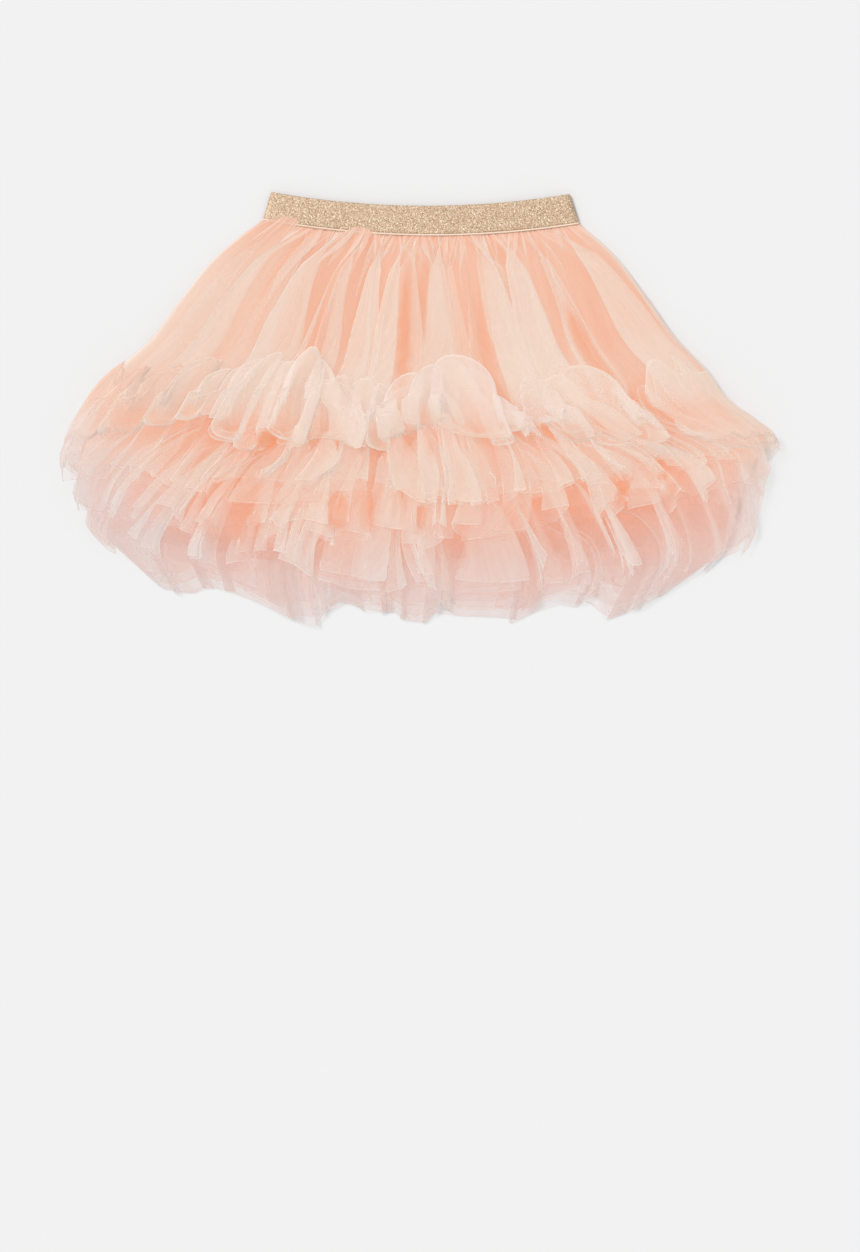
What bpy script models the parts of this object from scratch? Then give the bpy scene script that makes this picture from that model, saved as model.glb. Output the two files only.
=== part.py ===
"""Child's tulle skirt, laid flat with its front on its back.

The skirt lies on z = 0. +Y runs up to the waistband, +X to the right as it is seen from above.
Every piece is a tube that goes all the way round, flattened: its back rests on the table or on the piece
around it, its front lies on the pieces inside it, and its two sides are rounded edges.
All tubes share one set of sections, so that one piece can be laid on the next by adding heights.
"""

import math
from collections import namedtuple

import bmesh
import bpy

MM = 0.001

# Driving dimensions, in millimetres.
BAND_WALL = 1.5
BAND_GAP = 0.6
INSIDE_GAP = 2.0
SEAM_GAP = 0.3
HEADING_LIFT = 3.5
HEM_LIFT = 2.2
SIDE_SPREAD = 0.7
SHARP_ANGLE = math.radians(50)

# How finely a tube is divided across its front, its back and a quarter of a rounded side.
FRONT_STEPS = 44
BACK_STEPS = 8
EDGE_STEPS = 3

# A section runs from the left side through the middle to the right side, and its sides are rounded.
Section = namedtuple("Section", "left_x left_y middle_y right_x right_y rounding")
BAND_SECTIONS = {
    "band_top": Section(-112, 161.5, 151, 112, 160, 4),
    "band_bottom": Section(-118, 141, 129, 119, 138, 4),
}
SECTIONS = {
    "waist_seam": Section(-118, 140.7, 128.7, 119, 137.7, 6),
    "gathers": Section(-149, 116, 101, 143, 116, 14),
    "hip": Section(-178, 82, 64, 169, 82, 18),
    "thigh": Section(-202, 50, 31, 192, 50, 20),
    "heading": Section(-226, 27, 12, 214, 28, 22),
    "seam_1": Section(-236, 4, -6, 224, 8, 22),
    "seam_2": Section(-250, -14, -26, 244, -8, 22),
    "hem_1": Section(-264, -37, -50, 264, -22, 24),
    "hem_2": Section(-258, -74, -93, 252, -56, 24),
    "hem_3": Section(-244, -99, -130, 240, -106, 22),
    "hem_4": Section(-217, -124, -154.1, 212, -133, 18),
}

# From the inside out: where each piece starts and ends, and the thickness of its gathered cloth.
Piece = namedtuple("Piece", "first last wall")
PIECES = {
    "underskirt": Piece("waist_seam", "hem_2", 1.2),
    "ruffle_4": Piece("hem_2", "hem_4", 2.4),
    "ruffle_3": Piece("hem_1", "hem_3", 2.4),
    "ruffle_2": Piece("seam_2", "hem_2", 2.4),
    "overskirt": Piece("waist_seam", "seam_1", 1.4),
    "ruffle_1": Piece("heading", "hem_1", 2.4),
}
# How far a piece's folds stand open at a section, from 0 where it is sewn down to 1 where it hangs free.
OPENING = {
    "underskirt": {"gathers": 0.5, "hip": 1, "thigh": 1, "heading": 0.8, "seam_1": 0.4},
    "overskirt": {"gathers": 0.5, "hip": 0.9, "thigh": 1, "heading": 0.9, "seam_1": 0.5},
    "ruffle_1": {"heading": 1, "seam_2": 0.5, "hem_1": 1},
    "ruffle_2": {"hem_1": 0.6, "hem_2": 1},
    "ruffle_3": {"hem_2": 0.6, "hem_3": 1},
    "ruffle_4": {"hem_3": 0.6, "hem_4": 1},
}

# The largest folds of each front: the fold's place from side (-1) to side (1) and half its width on the
# same measure, then how high it stands, how far it pushes a free hem out and, on the top ruffle, how far
# it pushes the heading's free edge up, in millimetres.
Fold = namedtuple("Fold", "place half_width height reach crest", defaults=(0, 0))
FOLDS = {
    "underskirt": [
        Fold(-0.55, 0.12, 2.0),
        Fold(-0.12, 0.10, 2.5),
        Fold(0.30, 0.12, 2.0),
        Fold(0.70, 0.10, 1.5),
    ],
    "overskirt": [
        Fold(-0.78, 0.10, 2.5),
        Fold(-0.48, 0.09, 4.0),
        Fold(-0.27, 0.08, 3.0),
        Fold(0.02, 0.10, 5.0),
        Fold(0.24, 0.07, 3.5),
        Fold(0.46, 0.09, 4.0),
        Fold(0.74, 0.11, 3.0),
    ],
    "ruffle_1": [
        Fold(-0.84, 0.10, 5.0, 4, 6),
        Fold(-0.62, 0.09, 7.0, 3, 8),
        Fold(-0.42, 0.11, 12.0, 8, 20),
        Fold(-0.17, 0.08, 7.0, 4, 4),
        Fold(0.08, 0.14, 13.0, 9, 10),
        Fold(0.42, 0.08, 9.0, 5, 7),
        Fold(0.57, 0.08, 10.0, 4, 7),
        Fold(0.84, 0.12, 7.0, 6, 6),
    ],
    "ruffle_2": [
        Fold(-0.80, 0.10, 4.0, 4),
        Fold(-0.55, 0.09, 6.0, 3),
        Fold(-0.30, 0.08, 5.0, 6),
        Fold(-0.05, 0.10, 7.0, 4),
        Fold(0.20, 0.08, 6.0, 7),
        Fold(0.42, 0.10, 7.0, 5),
        Fold(0.66, 0.08, 4.0, 3),
        Fold(0.87, 0.07, 4.0, 6),
    ],
    "ruffle_3": [
        Fold(-0.86, 0.07, 4.0, 5),
        Fold(-0.62, 0.10, 5.0, 4),
        Fold(-0.36, 0.09, 6.0, 6),
        Fold(-0.12, 0.08, 5.0, 3),
        Fold(0.12, 0.09, 6.0, 5),
        Fold(0.36, 0.08, 5.0, 6),
        Fold(0.60, 0.10, 5.0, 4),
        Fold(0.85, 0.08, 3.0, 6),
    ],
    "ruffle_4": [
        Fold(-0.82, 0.09, 4.0, 5),
        Fold(-0.58, 0.08, 5.0, 3),
        Fold(-0.33, 0.09, 5.0, 7),
        Fold(-0.08, 0.10, 6.0, 8),
        Fold(0.18, 0.09, 6.0, 4),
        Fold(0.40, 0.08, 4.0, 3),
        Fold(0.60, 0.08, 5.0, 8),
        Fold(0.84, 0.09, 3.0, 5),
    ],
}

Finish = namedtuple("Finish", "colour roughness metallic")
FINISHES = {
    "waistband": Finish((0.74, 0.58, 0.42), 0.4, 0.5),
    "overskirt": Finish((0.88, 0.64, 0.51), 0.8, 0.0),
    "underskirt": Finish((0.86, 0.42, 0.30), 0.8, 0.0),
    "ruffle_1": Finish((0.89, 0.68, 0.56), 0.8, 0.0),
    "ruffle_2": Finish((0.88, 0.62, 0.50), 0.8, 0.0),
    "ruffle_3": Finish((0.86, 0.57, 0.47), 0.8, 0.0),
    "ruffle_4": Finish((0.77, 0.57, 0.51), 0.8, 0.0),
}


def clear_scene():
    for thing in list(bpy.data.objects):
        bpy.data.objects.remove(thing, do_unlink=True)


def material_for(name):
    finish = FINISHES[name]
    material = bpy.data.materials.new(name)
    material.use_nodes = True
    shader = material.node_tree.nodes["Principled BSDF"]
    shader.inputs["Base Color"].default_value = (*finish.colour, 1)
    shader.inputs["Roughness"].default_value = finish.roughness
    shader.inputs["Metallic"].default_value = finish.metallic
    return material


# A stop is one point of a ring: its place across the flat part (-1 to 1), how far out it is round the
# side (-1 to 1), and its rise from the middle height (0) to the full height of its panel (1).
Stop = namedtuple("Stop", "place out rise is_front")


def ring_stops():
    """The stops once round a ring: the left tip, the front, the right tip and the back."""
    turns = [math.pi / 2 * step / EDGE_STEPS for step in range(1, EDGE_STEPS)]
    edge = [(math.sin(turn), math.cos(turn)) for turn in turns]
    front = [Stop(-1 + 2 * step / FRONT_STEPS, 0, 1, True) for step in range(FRONT_STEPS + 1)]
    back = [Stop(1 - 2 * step / BACK_STEPS, 0, 1, False) for step in range(BACK_STEPS + 1)]
    stops = [Stop(-1, -1, 0, True)]
    stops += [Stop(-1, -out, rise, True) for out, rise in reversed(edge)]
    stops += front
    stops += [Stop(1, out, rise, True) for out, rise in edge]
    stops += [Stop(1, 1, 0, False)]
    stops += [Stop(1, out, rise, False) for out, rise in reversed(edge)]
    stops += back
    stops += [Stop(-1, -out, rise, False) for out, rise in edge]
    return stops


STOPS = ring_stops()


def plan_point(section, stop, inset):
    """(share, x, y) of a stop seen from above. The inset moves only the rounded sides in."""
    half_width = (section.right_x - section.left_x) / 2
    middle_x = (section.right_x + section.left_x) / 2
    flat_x = stop.place * (half_width - section.rounding)
    x = middle_x + flat_x + stop.out * (section.rounding - inset)
    share = (x - middle_x) / half_width
    side_y = section.left_y + (section.right_y - section.left_y) * (share + 1) / 2
    bow = section.middle_y - (section.left_y + section.right_y) / 2
    return share, x, side_y + bow * (1 - share * share)


def fold_sum(name, share, column):
    """What a piece's folds add at one share across, each as a smooth hump."""
    total = 0.0
    for fold in FOLDS[name]:
        off = (share - fold.place) / fold.half_width
        if abs(off) < 1:
            total += getattr(fold, column) * (0.5 + 0.5 * math.cos(math.pi * off))
    return total


def layers_at(row):
    """The pieces that a section cuts, from the inside out."""
    place = ORDER.index(row)
    layers = []
    for name, piece in PIECES.items():
        if ORDER.index(piece.first) <= place <= ORDER.index(piece.last):
            layers.append(name)
    return layers


ORDER = list(SECTIONS)
LAYERS = {row: layers_at(row) for row in ORDER}


def outside_depth(name, row):
    """How much cloth a piece's back lies on."""
    layers = LAYERS[row]
    outside = layers[layers.index(name) + 1 :]
    return sum(PIECES[other].wall + SEAM_GAP for other in outside)


def inside_gap(row):
    return BAND_GAP if row == "waist_seam" else INSIDE_GAP


def middle_height(row):
    """Height of the middle of the space between the innermost front and back."""
    backs = sum(PIECES[name].wall + SEAM_GAP for name in LAYERS[row]) - SEAM_GAP
    return backs + inside_gap(row) / 2


def lift_of(name, row):
    """How far a ruffle's free edge stands off the cloth under it, apart from its folds."""
    if not name.startswith("ruffle"):
        return 0
    return HEADING_LIFT if row == PIECES["ruffle_1"].first else HEM_LIFT


def front_top(name, row, share):
    """Height of a front's upper face: all the fronts inside it, then its own gap, folds and cloth."""
    height = middle_height(row) + inside_gap(row) / 2 - SEAM_GAP
    for layer in LAYERS[row]:
        opening = OPENING[layer].get(row, 0)
        stands_off = lift_of(layer, row) + fold_sum(layer, share, "height")
        height += SEAM_GAP + PIECES[layer].wall + opening * stands_off
        if layer == name:
            break
    return height


def free_edge(name, row, share):
    """How far the folds push a ruffle's free edge down, or the top ruffle's heading up."""
    if not name.startswith("ruffle"):
        return 0
    if row == PIECES[name].last:
        return fold_sum(name, share, "reach")
    if row == PIECES[name].first:
        return -fold_sum(name, share, "crest")
    return 0


def tube_ring(name, row, wall):
    """The ring of points, in metres, of a piece's outer face, or with a wall, of its inner face."""
    depth = outside_depth(name, row) + wall
    middle = middle_height(row)
    points = []
    for stop in STOPS:
        share, x, y = plan_point(SECTIONS[row], stop, depth)
        face = depth
        if stop.is_front:
            face = front_top(name, row, share) - wall
            push = free_edge(name, row, share)
            x += push * share * SIDE_SPREAD
            y -= push
        z = middle + (face - middle) * stop.rise
        points.append((x * MM, y * MM, z * MM))
    return points


def band_ring(row, wall):
    """The same for the waistband, whose two panels are plain."""
    top = 2 * BAND_WALL + BAND_GAP
    points = []
    for stop in STOPS:
        _, x, y = plan_point(BAND_SECTIONS[row], stop, wall)
        face = top - wall if stop.is_front else wall
        z = top / 2 + (face - top / 2) * stop.rise
        points.append((x * MM, y * MM, z * MM))
    return points


def join_rings(mesh, first, second):
    """A strip of triangles between two rings, all cut along the same diagonal."""
    count = len(first)
    for index in range(count):
        after = (index + 1) % count
        mesh.faces.new((first[index], second[index], second[after]))
        mesh.faces.new((first[index], second[after], first[after]))


def make_tube(name, outer_rings, inner_rings, parent):
    """One closed wall: its outer face, its inner face and the edge of the cloth at each end."""
    mesh = bmesh.new()
    outer = [[mesh.verts.new(point) for point in ring] for ring in outer_rings]
    inner = [[mesh.verts.new(point) for point in ring] for ring in inner_rings]
    for face in (outer, inner):
        for upper, lower in zip(face, face[1:]):
            join_rings(mesh, upper, lower)
    join_rings(mesh, outer[0], inner[0])
    join_rings(mesh, outer[-1], inner[-1])
    bmesh.ops.recalc_face_normals(mesh, faces=mesh.faces)
    data = bpy.data.meshes.new(name)
    mesh.to_mesh(data)
    mesh.free()
    data.shade_smooth()
    data.set_sharp_from_angle(angle=SHARP_ANGLE)
    data.materials.append(material_for(name))
    tube = bpy.data.objects.new(name, data)
    bpy.context.scene.collection.objects.link(tube)
    tube.parent = parent
    return tube


def rows_of(name):
    piece = PIECES[name]
    return ORDER[ORDER.index(piece.first) : ORDER.index(piece.last) + 1]


def main():
    clear_scene()
    skirt = bpy.data.objects.new("skirt", None)
    bpy.context.scene.collection.objects.link(skirt)
    band_outer = [band_ring(row, 0) for row in BAND_SECTIONS]
    band_inner = [band_ring(row, BAND_WALL) for row in BAND_SECTIONS]
    make_tube("waistband", band_outer, band_inner, skirt)
    for name, piece in PIECES.items():
        outer = [tube_ring(name, row, 0) for row in rows_of(name)]
        inner = [tube_ring(name, row, piece.wall) for row in rows_of(name)]
        make_tube(name, outer, inner, skirt)


main()
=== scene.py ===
import math
import time

import bpy
import numpy as np
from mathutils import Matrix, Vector


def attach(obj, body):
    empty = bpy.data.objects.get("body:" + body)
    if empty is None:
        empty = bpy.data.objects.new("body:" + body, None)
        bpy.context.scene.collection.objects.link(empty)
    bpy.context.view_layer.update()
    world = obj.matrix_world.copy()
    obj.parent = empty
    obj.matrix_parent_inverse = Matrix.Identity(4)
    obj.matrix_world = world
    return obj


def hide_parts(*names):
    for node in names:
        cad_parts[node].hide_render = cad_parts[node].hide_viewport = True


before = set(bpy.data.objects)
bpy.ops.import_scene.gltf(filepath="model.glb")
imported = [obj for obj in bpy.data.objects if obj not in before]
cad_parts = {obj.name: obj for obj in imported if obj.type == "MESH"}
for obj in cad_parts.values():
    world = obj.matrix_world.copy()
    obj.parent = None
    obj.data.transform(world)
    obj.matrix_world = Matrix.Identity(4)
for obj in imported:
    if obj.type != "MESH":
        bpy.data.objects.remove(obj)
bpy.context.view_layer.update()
startedAt = time.time()
mm = 0.001


def say(stage):
    print(f"{time.time() - startedAt:6.1f} s  {stage}")


def addObject(name, data):
    made = bpy.data.objects.new(name, data)
    bpy.context.scene.collection.objects.link(made)
    return made


# How the skirt lies on the table, in mm. drop is the distance below the waist seam at the middle of the
# front; then the left side's x and y, the middle's y, the right side's x and y, how far the sides are
# rounded, and the height halfway between front and back.
fanRows = np.array([
    (-25.0, -97, 157, 153.7, 98, 156, 4, 2.0),
    (0.0, -118, 140.7, 128.7, 119, 137.7, 6, 2.6),
    (27.7, -149, 116, 101, 143, 116, 14, 4.6),
    (64.7, -178, 82, 64, 169, 82, 18, 5.2),
    (97.7, -202, 50, 31, 192, 50, 20, 6.0),
    (116.7, -226, 27, 12, 214, 28, 22, 6.6),
    (134.7, -238, 4, -6, 226, 8, 22, 8.0),
    (154.7, -251, -14, -26, 245, -8, 22, 9.5),
    (178.7, -262, -37, -50, 262, -22, 24, 10.3),
    (221.7, -257, -74, -93, 252, -56, 24, 9.0),
    (258.7, -243, -99, -130, 240, -106, 22, 6.1),
    (282.8, -217, -124, -154, 212, -133, 18, 3.4),
    (310.0, -190, -150, -181, 185, -160, 14, 2.0),
])


def throughPoints(places, values, at):
    # a smooth line through values given at places; each value may be a whole row of numbers
    places = np.asarray(places, float)
    values = np.asarray(values, float)
    at = np.clip(np.asarray(at, float), places[0], places[-1])
    slopes = np.gradient(values, places, axis=0)
    first = np.clip(np.searchsorted(places, at, side="right") - 1, 0, len(places) - 2)
    width = places[first + 1] - places[first]
    part = (at - places[first]) / width
    if values.ndim > 1:
        width = width[..., None]
        part = part[..., None]
    square, cube = part**2, part**3
    line = (2 * cube - 3 * square + 1) * values[first]
    line += (cube - 2 * square + part) * width * slopes[first]
    line += (3 * square - 2 * cube) * values[first + 1]
    line += (cube - square) * width * slopes[first + 1]
    return line


fineDrop = np.arange(fanRows[0, 0], fanRows[-1, 0] + 1)
fineFan = throughPoints(fanRows[:, 0], fanRows[:, 1:], fineDrop)


def fanAt(drop):
    return [np.interp(drop, fineDrop, fineFan[:, column]) for column in range(fineFan.shape[1])]


def sideShare(ring):
    # from the left side (-1) to the right (1); ring runs 0 to 1 over the front and 1 to 2 back over the back
    around = np.mod(ring, 2.0)
    return 2 * np.where(around < 1, around, 2 - around) - 1


# how the flattened tube is rounded at its sides: how much longer the cloth is there than the round is deep,
# how much the folds stand out sideways and at the back, and the lowest height, in mm
layFlat = {"roundLength": 1.45, "standSide": 0.3, "standBack": 0.25, "lowestZ": 0.4}


def ringPoints(ring, plan, out, frontZ, backZ, wide):
    leftX, leftY, middleY, rightX, rightY, rounding, middleZ = plan
    width = rightX - leftX
    around = np.mod(ring, 2.0)
    onFront = around < 1
    across = np.where(onFront, around, 2 - around)
    endShare = layFlat["roundLength"] * rounding / width
    fromEnd = np.minimum(across, 1 - across)
    turn = np.clip(fromEnd / endShare, 0, 1) * math.pi / 2
    flatPart = np.maximum(fromEnd - endShare, 0) / (1 - 2 * endShare) * (width - 2 * rounding)
    fromSide = rounding * (1 - np.cos(turn)) + flatPart
    onLeft = across < 0.5
    x = np.where(onLeft, leftX + fromSide, rightX - fromSide)
    share = (x - (leftX + rightX) / 2) / (width / 2)
    bow = middleY - (leftY + rightY) / 2
    y = leftY + (rightY - leftY) * (share + 1) / 2 + bow * (1 - share**2)
    rise = np.sin(turn)
    z = middleZ + (np.where(onFront, frontZ, backZ) - middleZ) * rise
    x = x + (layFlat["standSide"] * out + wide) * np.cos(turn) * np.where(onLeft, -1, 1)
    z = z + out * rise * np.where(onFront, 1.0, layFlat["standBack"])
    return np.stack([x, y, np.maximum(z, layFlat["lowestZ"])], axis=-1)


def waves(rng, count, mostAcross, mostDown):
    # a soft noise that closes on itself round the skirt: turns across, turns down, phase, strength
    across = rng.integers(1, mostAcross + 1, count)
    down = rng.uniform(-mostDown, mostDown, count)
    phase = rng.uniform(0, 2 * math.pi, count)
    strength = rng.uniform(0.5, 1.0, count)
    return across, down, phase, strength / math.sqrt(count / 2)


def waveAt(wave, ring, down):
    total = 0
    for across, fall, phase, strength in zip(*wave):
        total = total + strength * np.sin(math.pi * across * ring + 2 * math.pi * fall * down + phase)
    return total


def betweenFolds(values, place):
    # one value for each fold, eased from one fold to the next, closing on itself
    count = len(values)
    shifted = place - 0.5
    first = np.floor(shifted).astype(int)
    part = shifted - first
    ease = part * part * (3 - 2 * part)
    return values[first % count] * (1 - ease) + values[(first + 1) % count] * ease


# What each fold has of its own. swing: how far it folds over itself, as a share of its width; skew makes
# one of its edges the sharper; stand: its height; lap: which neighbour it lies on; curl, tilt and reach
# shape its hem; lean: how far the hem shifts sideways; arch and archTilt shape a heading's crest; long:
# how soon a gather dies out.
foldKeys = ("swing", "skew", "twist", "stand", "curl", "tilt", "reach", "lean", "arch", "archTilt", "long")


def foldSet(rng, folds):
    # one set of folds round the ring, front first, then back, each fold with its own numbers
    front = folds["front"]
    if isinstance(front, int):
        uneven = folds.get("uneven", 0.5)
        front = np.exp(rng.uniform(-uneven, uneven, front))
    front = np.array(front, float)
    unevenBack = 0.4
    back = np.exp(rng.uniform(-unevenBack, unevenBack, folds["back"]))
    widths = np.concatenate([front / front.sum(), back / back.sum()])
    made = {"edges": np.concatenate([[0], np.cumsum(widths)]), "widths": widths}
    for key in foldKeys:
        drawn = rng.uniform(*folds.get(key, (0, 0)), len(widths))
        hand = folds.get("hand", {}).get(key, [])
        drawn[:len(hand)] = hand
        made[key] = drawn
    laps = np.where(rng.random(len(widths)) < 0.5, 1.0, -1.0)
    hand = folds.get("hand", {}).get("lap", [])
    laps[:len(hand)] = hand
    made["lap"] = laps
    return made


def columnPlaces(edges, look):
    # fold number of each column: closer on the front than on the back
    frontMm, fewest = 500, 6  # about how wide the skirt lies, and the columns that any fold needs
    frontEnd = 0.999  # just short of 1, where the back begins
    parts = []
    for fold in range(len(edges) - 1):
        spacing = look["frontStep"] if edges[fold] < frontEnd else look["backStep"]
        lengthMm = (edges[fold + 1] - edges[fold]) * frontMm * look["fullness"]
        count = max(fewest, int(round(lengthMm / spacing)))
        parts.append(fold + np.arange(count) / count)
    return np.concatenate(parts)


def bump(value, middle, half):
    # a soft hump of height 1 that is nothing beyond half on each side of its middle
    near = np.clip(1 - np.abs(value - middle) / half, 0, 1)
    return near * near * (3 - 2 * near)


def tableAt(table, share):
    places, values = zip(*table)
    return np.interp(share, places, values)


# what every ply's folds have in common
foldShape = {
    # waves that shift the folds sideways, that raise the cloth and move its hem, and that make it denser and
    # thinner: how many, most turns across, most turns down
    "wobble": (7, 22, 0.9),
    "bumps": (9, 34, 1.6),
    "streaks": (12, 120, 0.5),
    "flatBumps": 0.2,  # the part of the bumps that is left where the cloth is sewn down
    "calmFrom": 0.55,  # the folds grow shallower from this share of the half width
    "calmOver": 0.3,
    "fineSteps": 6000,
    "wobbleTurn": 0.3,
    "skewTurn": 0.3,
    "twistFrom": 0.25,  # twisted folds turn about this place between seam and hem
    "standTurn": 0.35,  # a fold is highest this much before its middle
    "boxSharp": 2.2,  # how square a pleat is at its hem, and the height that this gives its wave
    "boxHeight": 0.976,
    "hemSmall": 0.3,  # narrow folds change the hem less, and wide ones more
    "hemLarge": 1.4,
    "sagShare": 0.75,
    "thinTurn": 2.5,
    "thinnest": 0.02,
    "thickest": 0.96,
    "floorShadowOver": 70,
}


def pliedGrid(look):
    # the points of one gathered ply, its values and its flat measures
    rng = np.random.default_rng(look["seed"] * 100 + look["ply"])
    lobes = foldSet(np.random.default_rng(look["seed"]), look["lobes"])
    pleats = foldSet(rng, look["pleats"])
    gathers = foldSet(rng, look["gathers"])
    place = columnPlaces(pleats["edges"], look)
    ringAt = throughPoints(np.arange(len(pleats["edges"])), pleats["edges"], place)
    share = sideShare(ringAt)

    profile = look["profile"]
    at = np.array([line["at"] for line in profile])
    rows = np.array(look["rows"])
    along = rows[:, None]

    def columnValues(key):
        # each line of the profile holds a number, a few from side to side, or a table of places and values
        lists = []
        for line in profile:
            value = line[key]
            if not isinstance(value, list):
                values = value if isinstance(value, tuple) else (value, value)
                value = list(zip(np.linspace(-1, 1, len(values)), values))
            lists.append(tableAt(value, share))
        return np.array(lists)

    columnKeys = ("drop", "lift", "back", "wide", "coral", "dense")
    drop, lift, back, wide, coral, dense = (throughPoints(at, columnValues(key), rows) for key in columnKeys)
    knot = {}
    for key in ("open", "free", "gather", "arch", "sag", "lobe", "pleat", "fan", "slide"):
        knot[key] = np.interp(rows, at, [line[key] for line in profile])[:, None]

    widthMm = np.interp(drop, fineDrop, fineFan[:, 3] - fineFan[:, 0])
    ring = ringAt[None, :] + 0 * along
    wobble = waveAt(waves(rng, *foldShape["wobble"]), ring, along)
    bumps = waveAt(waves(rng, *foldShape["bumps"]), ring, along)
    flatBumps = foldShape["flatBumps"]
    out = look["bump"] * bumps * (flatBumps + (1 - flatBumps) * knot["open"])
    dropNow = drop + knot["free"] * look["hemWave"] * bumps
    ringNow = ring + look["wobble"] * wobble * along * knot["open"] / widthMm
    between = 0 * ring
    aside = np.abs(sideShare(ringNow)) - foldShape["calmFrom"]
    calm = 1 - look["calm"] * np.clip(aside / foldShape["calmOver"], 0, 1)
    # gathers first, then pleats, then the big lobes, each carrying the ones before it
    steps = (
        (gathers, knot["gather"] * calm, 0),
        (pleats, knot["open"] * knot["pleat"] * calm, knot["pleat"]),
        (lobes, knot["open"] * knot["lobe"], knot["lobe"]),
    )
    for folds, opened, shaped in steps:
        count = len(folds["widths"])
        finePlace = np.linspace(-1, count + 1, foldShape["fineSteps"])
        edges = np.concatenate([folds["edges"][-2:-1] - 2, folds["edges"], folds["edges"][1:2] + 2])
        foldRing = throughPoints(np.arange(-1, count + 2), edges, finePlace)
        foldPlace = np.interp(ringNow, foldRing, finePlace)
        one = {key: betweenFolds(values, foldPlace) for key, values in folds.items() if key != "edges"}
        angle = 2 * math.pi * (foldPlace - 0.5) + foldShape["wobbleTurn"] * wobble * along
        angle = angle + one["twist"] * (along - foldShape["twistFrom"])
        if folds is gathers:
            opened = np.clip(opened, 0, 1) ** one["long"]
        sine, cosine = np.sin(angle), np.cos(angle)
        meander = sine + foldShape["skewTurn"] * one["skew"] * np.sin(2 * angle)
        sideways = opened * (one["swing"] * one["widths"] * widthMm * meander + one["lean"] * knot["slide"])
        ringNow = ringNow + sideways / widthMm
        out = out - opened * one["lap"] * one["stand"] * np.sin(angle - foldShape["standTurn"])
        between = between + (look["gatherShow"] if folds is gathers else 1) * opened * one["swing"] * cosine
        if folds is not gathers:
            boxed = np.tanh(foldShape["boxSharp"] * cosine) / foldShape["boxHeight"]
            hem = one["curl"] * boxed + one["tilt"] * sine + one["reach"] * (0.5 + 0.5 * boxed)
            hem = hem * np.clip(one["widths"] * count / 2, foldShape["hemSmall"], foldShape["hemLarge"])
            rises = (foldShape["sagShare"] * knot["sag"] - knot["arch"]) * one["arch"] * cosine
            rises = rises + (knot["arch"] + knot["sag"]) * one["archTilt"] * sine
            dropNow = dropNow + shaped * (knot["free"] * hem + rises)

    # the folds spread like a fan towards the hem
    share = sideShare(ringNow)
    share = share + knot["fan"] * share * (1 - share**2)
    turns = 2 * np.floor(ringNow / 2)
    ringNow = turns + np.where(np.mod(ringNow, 2) < 1, (share + 1) / 2, 2 - (share + 1) / 2)
    dropNow = dropNow + knot["free"] ** 2 * tableAt(look["hemShape"], share)

    streaks = waveAt(waves(rng, *foldShape["streaks"]), ring, along)
    ply = look["veil"] * dense * (1 + look["streak"] * streaks)
    for middle, half, fromWaist, tall, thin in look["gaps"]:
        inGap = np.clip(2 * bump(share, middle, half) * bump(dropNow, fromWaist, tall), 0, 1)
        ply = ply * (1 - thin * inGap)
    for rim in look["rims"]:
        ply = ply * (1 + rim["show"] * bump(along, rim["at"], rim["half"]))
    for crease in look["creases"]:
        line = bump(dropNow - crease["slope"] * (share - crease["share"]), crease["drop"], crease["half"])
        line = line * np.sqrt(bump(share, crease["share"], crease["wide"]))
        out = out + crease["stand"] * line
        ply = ply * (1 + crease["show"] * line)

    points = ringPoints(ringNow, fanAt(dropNow), out, lift, back, wide)

    # cloth lengths across and down, for the weave
    stepAcross = np.linalg.norm(np.roll(points, -1, axis=1) - points, axis=-1).mean(axis=0)
    acrossMm = np.concatenate([[0], np.cumsum(stepAcross)])
    stepDown = np.linalg.norm(np.diff(points, axis=0), axis=-1).mean(axis=1)
    downMm = np.concatenate([[0], np.cumsum(stepDown)])

    # how thick the cloth looks from above: steep parts, fold edges and the hem are denser
    across = np.roll(points, -1, axis=1) - np.roll(points, 1, axis=1)
    normal = np.cross(np.gradient(points, axis=0), across)
    normal = normal / np.maximum(np.linalg.norm(normal, axis=-1, keepdims=True), 1e-9)
    steep = np.clip(np.abs(normal[..., 2]), look["steepest"], 1)
    hemEdge = np.clip(1 - (downMm[-1] - downMm) / look["hemEdge"], 0, 1)[:, None]
    edge = np.clip(1 - np.abs(normal[..., 2]) / look["edgeTurn"], 0, 1) * calm
    folded = np.clip(foldShape["thinTurn"] * between, -1, 1)
    ply = ply * (1 + look["edge"] * edge) * (1 - look["foldThin"] * folded)
    ply = np.clip(ply * (1 + look["hemShow"] * hemEdge), foldShape["thinnest"], foldShape["thickest"])

    # painted shade: the hollows between the raised folds are made more coral than the folds
    deep = max(np.abs(lobes["stand"]).max() + np.abs(pleats["stand"]).max(), 0.1)
    tint = coral - look["hollowShade"] * out / deep * knot["open"]
    # between adds coral across the middle of each fold and takes it off where the fold turns back; the last
    # term paints a highlight, whiter, along the steep fold edges
    tint = np.clip(tint + look["between"] * between, np.minimum(coral, 0), 1) - look["edgeHighlight"] * edge
    # painted shadow: the cloth turns greyer towards the hem and the far sides, standing in for the floor's
    # shadow seen through it
    floorShadow = (dropNow + tableAt(look["sideFloorShadow"], share) - look["floorShadowFrom"]) / foldShape["floorShadowOver"]
    return {
        "points": points * mm,
        "normal": normal,
        "acrossM": acrossMm * mm,
        "downM": downMm * mm,
        "veil": np.clip(1 - (1 - ply) ** (1 / steep), 0, 1),
        "coral": np.clip(tint, -1, 1),
        "floorShadow": np.clip(floorShadow, 0, 1),
    }


softShade = 1.3  # how far the shading of sheer cloth evens out its steep sides


def atCorners(values, nextValues):
    # values at the corners of the two triangles between each pair of rows and columns
    first, second = values[:-1], values[1:]
    nextFirst, nextSecond = nextValues[:-1], nextValues[1:]
    return np.stack([first, second, nextSecond, first, nextSecond, nextFirst], axis=2)


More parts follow.
